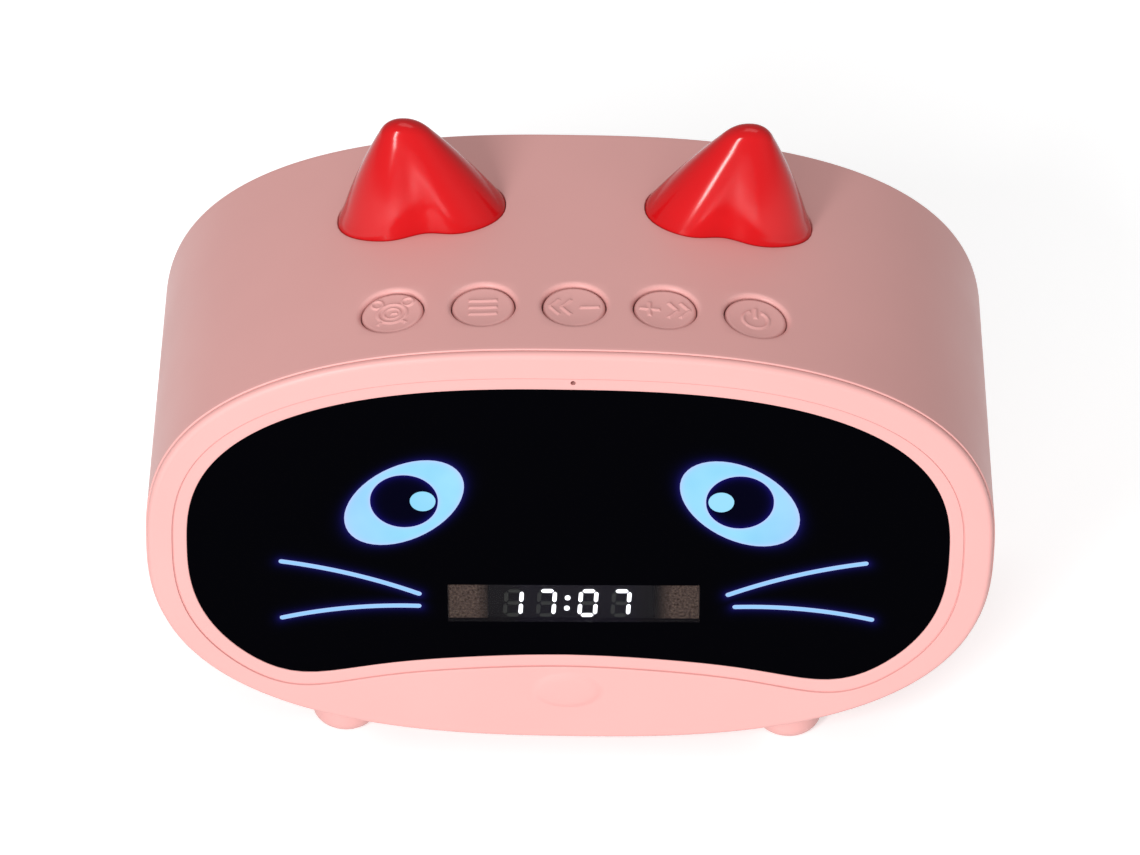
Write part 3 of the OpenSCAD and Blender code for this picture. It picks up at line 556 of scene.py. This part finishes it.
def key_cap(index, name):
    """A dished round cap with a raised legend, square to the shell's top."""
    n = 96
    g = np.linspace(-1, 1, n)
    u, v = np.meshgrid(g, g)
    flat_r = KEY_R - CAP_ROUND
    x, y = flat_r * u * np.sqrt(1 - v ** 2 / 2), flat_r * v * np.sqrt(1 - u ** 2 / 2)
    dish = CAP_DISH * (1 - (np.hypot(x, y) / flat_r) ** 2)
    rise = np.clip(0.5 - SYMBOLS[index](x / LEGEND_SCALE, y / LEGEND_SCALE) / LEGEND_SOFT, 0, 1)
    z = -KEY_SINK - dish + LEGEND_RISE * rise * rise * (3 - 2 * rise)
    points = [np.stack([x.ravel(), y.ravel(), z.ravel()], -1)]
    cells = [j * n + i for j in range(n - 1) for i in range(n - 1)]
    faces = [(k, k + 1, k + n + 1, k + n) for k in cells]
    border = (
        list(range(n - 1)) + [j * n + n - 1 for j in range(n - 1)]
        + [(n - 1) * n + i for i in range(n - 1, 0, -1)] + [j * n for j in range(n - 1, 0, -1)]
    )
    way = np.arctan2(y.ravel()[border], x.ravel()[border])
    count = len(border)
    previous = border
    total = n * n
    profile = [(KEY_R - CAP_ROUND * (1 - math.sin(a)), -KEY_SINK - CAP_ROUND * (1 - math.cos(a)))
               for a in np.linspace(0.2, math.pi / 2, 7)]
    low = -CAP_DEEP - FLANGE_T
    profile += [(KEY_R, -CAP_DEEP), (KEY_R + FLANGE_W, -CAP_DEEP), (KEY_R + FLANGE_W, low), (STEM_R, low)]
    for r, depth in profile:
        points.append(np.stack([r * np.cos(way), r * np.sin(way), np.full(count, depth)], -1))
        current = list(range(total, total + count))
        total += count
        for i in range(count):
            m = (i + 1) % count
            faces.append((previous[i], current[i], current[m], previous[m]))
        previous = current
    faces.append(tuple(previous))
    local = np.concatenate(points)
    kx = key_x(index)
    c, s = math.cos(key_tilt(index)), math.sin(key_tilt(index))
    world = np.stack([kx + c * local[:, 0] + s * local[:, 2], KEY_Y + local[:, 1],
                      top_z(kx) - inset(KEY_Y) - s * local[:, 0] + c * local[:, 2]], -1)
    piece = new_piece(name + "_cap", world, faces, name + "_key", 50)
    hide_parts(name + "_button")
    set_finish(piece, "key_pink")


# ---------- ears and feet ----------

def ear(side, name):
    """A red ear, from inside the shell's wall up to its round top."""
    count = 128
    t = np.linspace(0, 2 * math.pi, count, endpoint=False)
    x, y, foot_z = ear_foot(side, t)
    rings = [np.column_stack([x, y, foot_z - depth]) for depth in (WALL + 0.5, 0)]
    for f in (1 - (1 - np.arange(1, 41) / 40) ** 2):
        z = foot_z + (EAR_TOP - 0.004 - foot_z) * f
        rings.append(np.column_stack([*ear_at(side, z, t), z]))
    faces = loop_faces(len(rings), count)
    last = (len(rings) - 1) * count
    faces += [tuple(range(count))[::-1], tuple(range(last, last + count))]
    if side < 0:
        faces = [f[::-1] for f in faces]
    piece = new_piece(name + "_skin", np.concatenate(rings), faces, sharp=60)
    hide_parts(name)
    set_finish(piece, "ear_red")


def lathe(name, axis, profile):
    """Turns a profile of (radius, z) points about an upright axis at x, y."""
    count = 64
    t = np.linspace(0, 2 * math.pi, count, endpoint=False)
    c, s = np.cos(t), np.sin(t)
    rings = [np.stack([axis[0] + r * c, axis[1] + r * s, np.full(count, z)], -1) for r, z in profile]
    last = (len(profile) - 1) * count
    faces = loop_faces(len(profile), count) + [tuple(range(count))[::-1], tuple(range(last, last + count))]
    return new_piece(name, np.concatenate(rings), faces)


def foot(node):
    """A round foot on its CAD node's place, with a rounded sole."""
    low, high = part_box(node)
    r = (high.x - low.x) / 2 / MM
    x, y = (low.x + high.x) / 2 / MM, (low.y + high.y) / 2 / MM - FRONT_Y
    ground = low.z / MM - BODY_Z
    edge = FOOT_ROUND
    profile = [
        (r - edge + edge * math.sin(a), ground + edge * (1 - math.cos(a)))
        for a in np.linspace(0, math.pi / 2, 10)
    ]
    profile += [(r, ground + 6), (r, ground + FOOT_TALL)]
    piece = lathe(node + "_pad", (x, y), profile)
    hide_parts(node)
    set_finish(piece, "shell_pink")


# ---------- materials ----------

def material(name, color, rough, specular=0.5, metallic=0.0):
    """A principled material; returns it with its tree, shader and object coordinates."""
    mat = bpy.data.materials.new(name)
    mat.use_nodes = True
    tree = mat.node_tree
    shader = tree.nodes["Principled BSDF"]
    shader.inputs["Base Color"].default_value = (*color, 1)
    shader.inputs["Roughness"].default_value = rough
    shader.inputs["Metallic"].default_value = metallic
    shader.inputs["Specular IOR Level"].default_value = specular
    where = tree.nodes.new("ShaderNodeTexCoord").outputs["Object"]
    return mat, tree, shader, where


def noise(tree, where, scale, detail=3.0):
    node = tree.nodes.new("ShaderNodeTexNoise")
    node.inputs["Scale"].default_value = scale
    node.inputs["Detail"].default_value = detail
    tree.links.new(where, node.inputs["Vector"])
    return node.outputs["Fac"]


def ramp(tree, value, low, high):
    """Spreads a noise value between low and high."""
    node = tree.nodes.new("ShaderNodeMapRange")
    node.inputs["From Min"].default_value = 0.3
    node.inputs["From Max"].default_value = 0.7
    node.inputs["To Min"].default_value = low
    node.inputs["To Max"].default_value = high
    tree.links.new(value, node.inputs["Value"])
    return node.outputs["Result"]


def blend_color(tree, factor, a, b):
    node = tree.nodes.new("ShaderNodeMix")
    node.data_type = "RGBA"
    node.inputs["A"].default_value = (*a, 1)
    node.inputs["B"].default_value = (*b, 1)
    tree.links.new(factor, node.inputs["Factor"])
    return node.outputs["Result"]


def mix_into(tree, factor, base, color):
    """Blends a linked colour towards a fixed one."""
    node = tree.nodes.new("ShaderNodeMix")
    node.data_type = "RGBA"
    node.inputs["B"].default_value = (*color, 1)
    tree.links.new(base, node.inputs["A"])
    tree.links.new(factor, node.inputs["Factor"])
    return node.outputs["Result"]


def bump(tree, height, strength, distance):
    node = tree.nodes.new("ShaderNodeBump")
    node.inputs["Strength"].default_value = strength
    node.inputs["Distance"].default_value = distance
    tree.links.new(height, node.inputs["Height"])
    return node.outputs["Normal"]


def moulded(name, color, rough, grain=0.25, spread=0.03, specular=0.5):
    """Moulded plastic: slight colour drift, uneven sheen and a fine grain."""
    mat, tree, shader, where = material(name, color, rough, specular)
    dark = [c * (1 - spread) for c in color]
    light = [min(1, c * (1 + spread)) for c in color]
    tint = blend_color(tree, ramp(tree, noise(tree, where, 35), 0, 1), dark, light)
    tree.links.new(tint, shader.inputs["Base Color"])
    sheen = ramp(tree, noise(tree, where, 60, 5), rough * 0.9, rough * 1.1)
    tree.links.new(sheen, shader.inputs["Roughness"])
    tree.links.new(bump(tree, noise(tree, where, 2600, 2), grain, 0.00002), shader.inputs["Normal"])
    return mat


def brushed(name, color, rough):
    """Plated or brushed metal with fine streaks."""
    mat, tree, shader, where = material(name, color, rough, metallic=1.0)
    stretch = tree.nodes.new("ShaderNodeMapping")
    stretch.inputs["Scale"].default_value = (1, 30, 30)
    tree.links.new(where, stretch.inputs["Vector"])
    streaks = noise(tree, stretch.outputs["Vector"], 300)
    tree.links.new(ramp(tree, streaks, rough * 0.8, rough * 1.25), shader.inputs["Roughness"])
    tree.links.new(bump(tree, streaks, 0.1, 0.00002), shader.inputs["Normal"])
    return mat


class Maths:
    """Short calls for building a value out of Math nodes."""

    def __init__(self, tree):
        self.tree = tree

    def do(self, operation, *values):
        node = self.tree.nodes.new("ShaderNodeMath")
        node.operation = operation
        for i, value in enumerate(values):
            if isinstance(value, (int, float)):
                node.inputs[i].default_value = value
            else:
                self.tree.links.new(value, node.inputs[i])
        return node.outputs[0]

    def millimetres(self, where):
        """x and z of a point in the face's own turned axes, in millimetres."""
        split = self.tree.nodes.new("ShaderNodeSeparateXYZ")
        self.tree.links.new(where, split.inputs[0])
        x = self.do("MULTIPLY", split.outputs["X"], 1 / MM)
        v = self.do("MULTIPLY_ADD", split.outputs["Z"], 1 / MM, -BODY_Z - EYE_Z)
        c, s = math.cos(FACE_TURN), math.sin(FACE_TURN)
        across = self.do("ADD", self.do("MULTIPLY", x, c), self.do("MULTIPLY", v, s))
        up = self.do("SUBTRACT", self.do("MULTIPLY", v, c), self.do("MULTIPLY", x, s))
        return across, self.do("ADD", up, EYE_Z)

    def beside(self, x, shift, place):
        """Distance outward from a place that is mirrored about x = shift."""
        return self.do("SUBTRACT", self.do("ABSOLUTE", self.do("SUBTRACT", x, shift)), place)

    def eye_level(self, x, z):
        """Distance in millimetres from the edge of the nearer eye's oval, negative inside."""
        u = self.beside(x, EYE_SHIFT, EYE_X)
        v = self.do("SUBTRACT", z, EYE_Z)
        c, s = math.cos(EYE_TILT), math.sin(EYE_TILT)
        p = self.do("SUBTRACT", self.do("MULTIPLY", u, c), self.do("MULTIPLY", v, s))
        q = self.do("ADD", self.do("MULTIPLY", u, s), self.do("MULTIPLY", v, c))
        a = self.do("POWER", self.do("DIVIDE", p, EYE_LONG), 2.0)
        b = self.do("POWER", self.do("DIVIDE", q, EYE_SHORT), 2.0)
        r = self.do("SQRT", self.do("ADD", a, b))
        return self.do("MULTIPLY", self.do("SUBTRACT", r, 1.0), EYE_SHORT * 1.15)

    def round_level(self, x, z, cx, cz, r):
        """Distance from the edge of the nearer of two mirrored circles, negative inside."""
        u = self.beside(x, EYE_SHIFT, cx)
        v = self.do("SUBTRACT", z, cz)
        return self.do("SUBTRACT", self.length(u, v), r)

    def length(self, a, b):
        """Length of the vector a, b."""
        return self.do("SQRT", self.do("ADD", self.do("MULTIPLY", a, a), self.do("MULTIPLY", b, b)))

    def whisker_level(self, x, z, whisker):
        """Distance from the middle line of the nearer of two mirrored whiskers, which are arcs."""
        x0, z0, x1, z1, sag, shift = whisker
        chord = math.hypot(x1 - x0, z1 - z0)
        c, s = (x1 - x0) / chord, (z1 - z0) / chord
        r = (chord * chord / 4 + sag * sag) / (2 * sag)
        cx, cz = (x0 + x1) / 2 + s * (r - sag), (z0 + z1) / 2 - c * (r - sag)
        u = self.beside(x, shift, x0)
        v = self.do("SUBTRACT", z, z0)
        along = self.do("ADD", self.do("MULTIPLY", u, c), self.do("MULTIPLY", v, s))
        held = self.do("MINIMUM", self.do("MAXIMUM", along, 0.0), chord)
        over = self.do("SUBTRACT", along, held)
        p, q = self.beside(x, shift, cx), self.do("SUBTRACT", z, cz)
        across = self.do("SUBTRACT", self.length(p, q), r)
        return self.length(over, across)

    def fade(self, distance, reach):
        """1 at distance 0 and falling off over reach."""
        away = self.do("MAXIMUM", distance, 0.0)
        return self.do("EXPONENT", self.do("DIVIDE", away, -reach))


def panel_black():
    """Black acrylic that takes a navy glow round the lit shapes."""
    mat, tree, shader, where = material("panel_black", (0.0004, 0.0004, 0.001), 0.06, 0.006)
    m = Maths(tree)
    x, z = m.millimetres(where)
    glow = m.fade(m.eye_level(x, z), 0.45)
    for whisker in WHISKERS:
        near = m.do("SUBTRACT", m.whisker_level(x, z, whisker), WHISKER_W / 2)
        glow = m.do("MAXIMUM", glow, m.do("MULTIPLY", m.fade(near, 0.45), 0.9))
    tree.links.new(m.do("MULTIPLY", glow, 0.13), shader.inputs["Emission Strength"])
    shader.inputs["Emission Color"].default_value = (0.06, 0.05, 0.75, 1)
    tree.links.new(ramp(tree, noise(tree, where, 40), 0.05, 0.09), shader.inputs["Roughness"])
    tree.links.new(bump(tree, noise(tree, where, 90, 1), 0.03, 0.0001), shader.inputs["Normal"])
    return mat


def lit_blue():
    """Light guide: sky blue in the middle, lilac-white along the edges, deeper blue in the whiskers."""
    mat, tree, shader, where = material("lit_blue", (0.01, 0.015, 0.02), 0.12, 0.04)
    m = Maths(tree)
    x, z = m.millimetres(where)
    rim = m.do("ABSOLUTE", m.eye_level(x, z))
    pupil = m.do("ABSOLUTE", m.round_level(x, z, EYE_X, PUPIL_Z, PUPIL_R))
    edge = m.do("MAXIMUM", m.fade(rim, 0.3), m.fade(pupil, 0.22))
    for whisker in WHISKERS:
        side = m.do("SUBTRACT", m.whisker_level(x, z, whisker), WHISKER_W / 2)
        edge = m.do("MAXIMUM", edge, m.fade(m.do("ABSOLUTE", side), 0.1))
    cloud = ramp(tree, noise(tree, where, 130, 2), 0, 1)
    base = blend_color(tree, cloud, (0.27, 0.68, 0.95), (0.34, 0.75, 0.97))
    outward = m.do("MULTIPLY", m.beside(x, EYE_SHIFT, EYE_X), 0.028)
    lilac = m.do("MINIMUM", m.do("MAXIMUM", outward, 0.0), 0.4)
    whiskers = m.do("LESS_THAN", z, -0.5)
    base = mix_into(tree, m.do("MULTIPLY", lilac, m.do("SUBTRACT", 1.0, whiskers)), base, (0.42, 0.50, 0.98))
    base = mix_into(tree, whiskers, base, (0.30, 0.62, 0.98))
    base = mix_into(tree, m.do("MULTIPLY", edge, 0.85), base, (0.56, 0.60, 1.0))
    tree.links.new(base, shader.inputs["Emission Color"])
    shader.inputs["Emission Strength"].default_value = 1.0
    return mat


def pupil_black():
    """Black acrylic lit a little from its rim."""
    mat, tree, shader, where = material("pupil_black", (0.0004, 0.0004, 0.001), 0.07, 0.006)
    m = Maths(tree)
    x, z = m.millimetres(where)
    rim = m.fade(m.do("MULTIPLY", m.round_level(x, z, EYE_X, PUPIL_Z, PUPIL_R), -1.0), 0.45)
    tree.links.new(m.do("MULTIPLY_ADD", rim, 0.25, 0.012), shader.inputs["Emission Strength"])
    shader.inputs["Emission Color"].default_value = (0.03, 0.02, 0.55, 1)
    tree.links.new(ramp(tree, noise(tree, where, 60), 0.05, 0.1), shader.inputs["Roughness"])
    return mat


def window_smoke():
    """See-through dark window with a faint glow before the digits."""
    mat, tree, shader, where = material("smoked_window", (0.010, 0.009, 0.011), 0.08, 0.04)
    shader.inputs["Alpha"].default_value = 0.38
    m = Maths(tree)
    x, _ = m.millimetres(where)
    digits = m.fade(m.do("SUBTRACT", m.do("ABSOLUTE", m.do("SUBTRACT", x, 1.0)), 8.5), 1.2)
    tree.links.new(m.do("MULTIPLY", digits, 0.006), shader.inputs["Emission Strength"])
    shader.inputs["Emission Color"].default_value = (0.3, 0.25, 1.0, 1)
    tree.links.new(ramp(tree, noise(tree, where, 50), 0.06, 0.11), shader.inputs["Roughness"])
    return mat


def foam(name, dark, light, size=900):
    """Open-cell foam or coarse cloth; size is the grain's frequency."""
    mat, tree, shader, where = material(name, dark, 0.9, 0.1)
    cells = tree.nodes.new("ShaderNodeTexVoronoi")
    cells.inputs["Scale"].default_value = 2200
    tree.links.new(where, cells.inputs["Vector"])
    tint = blend_color(tree, ramp(tree, noise(tree, where, size, 4), 0, 1), dark, light)
    tree.links.new(tint, shader.inputs["Base Color"])
    tree.links.new(bump(tree, cells.outputs["Distance"], 0.8, 0.0002), shader.inputs["Normal"])
    return mat, tree, shader, where


def display_foam():
    """Brown foam that sinks into shade towards the display."""
    mat, tree, shader, where = foam("foam", (0.06, 0.035, 0.028), (0.50, 0.34, 0.27), 2600)
    m = Maths(tree)
    x, _ = m.millimetres(where)
    light = m.do("MULTIPLY", m.beside(x, WINDOW_X, MODULE_W / 2), 0.4)
    light = m.do("MINIMUM", m.do("MAXIMUM", light, 0.05), 1.0)
    tint = shader.inputs["Base Color"].links[0].from_socket
    shaded = mix_into(tree, m.do("SUBTRACT", 1.0, light), tint, (0.012, 0.012, 0.012))
    tree.links.new(shaded, shader.inputs["Base Color"])
    return mat


def glowing(name, color, strength):
    """A light of a nearly even colour."""
    mat, tree, shader, where = material(name, color, 0.3)
    light = blend_color(tree, ramp(tree, noise(tree, where, 400), 0, 1), [c * 0.92 for c in color], color)
    tree.links.new(light, shader.inputs["Emission Color"])
    shader.inputs["Emission Strength"].default_value = strength
    return mat


PINK = (0.665, 0.34, 0.322)


def make_materials():
    """A material for each slot of the record."""
    return {
        "shell_pink": moulded("shell_pink", PINK, 0.42, 0.3, 0.02, specular=0.3),
        "key_pink": moulded("key_pink", [c * 1.03 for c in PINK], 0.45, 0.5, 0.03, specular=0.3),
        "ear_red": moulded("ear_red", (0.47, 0.004, 0.006), 0.16, 0.02, 0.03, specular=0.3),
        "panel_black": panel_black(),
        "pupil_black": pupil_black(),
        "lit_blue": lit_blue(),
        "lit_white": glowing("lit_white", (0.93, 0.95, 1.0), 6.0),
        "segment_off": moulded("segment_off", (0.11, 0.12, 0.105), 0.5, specular=0.2),
        "smoked_window": window_smoke(),
        "foam": display_foam(),
        "foam_black": foam("foam_black", (0.01, 0.01, 0.01), (0.03, 0.03, 0.03))[0],
        "module_black": moulded("module_black", (0.010, 0.010, 0.011), 0.5, specular=0.1),
        "chip_black": moulded("chip_black", (0.010, 0.010, 0.010), 0.6),
        "white_plastic": moulded("white_plastic", (0.75, 0.75, 0.72), 0.5),
        "board_green": moulded("board_green", (0.01, 0.13, 0.05), 0.35),
        "led_white": moulded("led_white", (0.85, 0.80, 0.50), 0.3),
        "magnet_grey": moulded("magnet_grey", (0.06, 0.06, 0.065), 0.7, 0.6),
        "cell_sleeve": moulded("cell_sleeve", (0.03, 0.16, 0.42), 0.3),
        "lead_red": moulded("lead_red", (0.50, 0.02, 0.02), 0.45),
        "cone_paper": moulded("cone_paper", (0.025, 0.025, 0.028), 0.75, 0.6),
        "soft_rubber": moulded("soft_rubber", (0.012, 0.012, 0.013), 0.55),
        "spider_cloth": foam("spider_cloth", (0.35, 0.24, 0.07), (0.5, 0.36, 0.12))[0],
        "grille_fabric": foam("grille_fabric", (0.008, 0.008, 0.009), (0.02, 0.02, 0.022))[0],
        "steel": brushed("steel", (0.62, 0.62, 0.64), 0.28),
        "copper": brushed("copper", (0.75, 0.36, 0.16), 0.35),
    }


def dress(materials):
    """Gives every CAD node and every new piece the material of its slot."""
    slots = {s["node"]: s["material_slot"] for s in frame["record"]["subparts"]}
    for node, piece in frame["nodes"].items():
        piece.data.materials.clear()
        piece.data.materials.append(materials[slots[node]])
    for piece in bpy.context.scene.objects:
        if piece.type == "MESH" and "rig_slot" in piece:
            piece.data.materials.clear()
            piece.data.materials.append(materials[piece["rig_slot"]])


# ---------- camera, floor and lights ----------

def camera():
    """A long lens in front of the clock, about 40 degrees up and slightly rolled."""
    pitch, yaw, roll = math.radians(39.692), math.radians(-0.245), math.radians(1.027)
    distance, shift_x, shift_y = 1156.47, -0.033, 17.789
    centre = Vector((0, FRONT_Y, BODY_Z + 0.48))
    ahead = Vector((-math.sin(yaw) * math.cos(pitch), math.cos(yaw) * math.cos(pitch), -math.sin(pitch)))
    level = Vector((math.cos(yaw), math.sin(yaw), 0))
    rise = level.cross(ahead)
    right = math.cos(roll) * level + math.sin(roll) * rise
    up = -math.sin(roll) * level + math.cos(roll) * rise
    data = bpy.data.cameras.new("camera")
    data.sensor_width = 36
    data.lens = 238.41
    data.clip_start = 0.05
    data.clip_end = 20
    cam = bpy.data.objects.new("camera", data)
    bpy.context.scene.collection.objects.link(cam)
    eye = (centre - ahead * distance + right * shift_x + up * shift_y) * MM
    turn = Matrix((right, up, -ahead)).transposed().to_4x4()
    cam.matrix_world = Matrix.Translation(eye) @ turn
    bpy.context.scene.camera = cam


def area_light(name, at, target, size, power, shines=True):
    """Rectangular lamp; shines is whether glossy surfaces mirror it."""
    data = bpy.data.lights.new(name, "AREA")
    data.shape = "RECTANGLE"
    data.size, data.size_y = size
    data.energy = power
    light = bpy.data.objects.new(name, data)
    bpy.context.scene.collection.objects.link(light)
    light.location = at
    light.visible_glossy = shines
    light.rotation_euler = (Vector(target) - Vector(at)).to_track_quat("-Z", "Y").to_euler()


def studio():
    """White surroundings, soft lamps and a plain pale floor."""
    scene = bpy.context.scene
    scene.view_settings.view_transform = "Standard"
    world = bpy.data.worlds.new("world")
    scene.world = world
    world.use_nodes = True
    background = world.node_tree.nodes["Background"]
    background.inputs["Color"].default_value = (1.0, 1.0, 1.0, 1)
    background.inputs["Strength"].default_value = 0.45
    middle = (0, 0, 0.04)
    area_light("key", (-0.45, -0.95, 0.55), middle, (0.12, 0.6), 9.0)
    area_light("fill", (0.75, -0.75, 0.35), middle, (0.5, 0.5), 0.8, shines=False)
    area_light("top", (0.1, 0.2, 1.1), middle, (0.7, 0.5), 2.0)
    area_light("front", (-0.1, -1.15, 0.12), middle, (0.5, 0.4), 10.5, shines=False)
    bpy.ops.mesh.primitive_plane_add(size=6)
    floor = bpy.context.object
    floor.name = "floor"
    mat, tree, shader, where = material("floor", (0.95, 0.95, 0.95), 0.8)
    tree.links.new(ramp(tree, noise(tree, where, 3), 0.75, 0.85), shader.inputs["Roughness"])
    shader.inputs["Emission Color"].default_value = (1, 1, 1, 1)
    shader.inputs["Emission Strength"].default_value = 0.35
    floor.data.materials.append(mat)
    floor.visible_diffuse = False


camera()
studio()
body_shell()
front_bezel()
for number, key in enumerate(KEYS):
    key_cap(number, key)
ear(-1, "ear_left")
ear(1, "ear_right")
for corner in ("front_left", "front_right", "rear_left", "rear_right"):
    foot("foot_" + corner)
dress(make_materials())
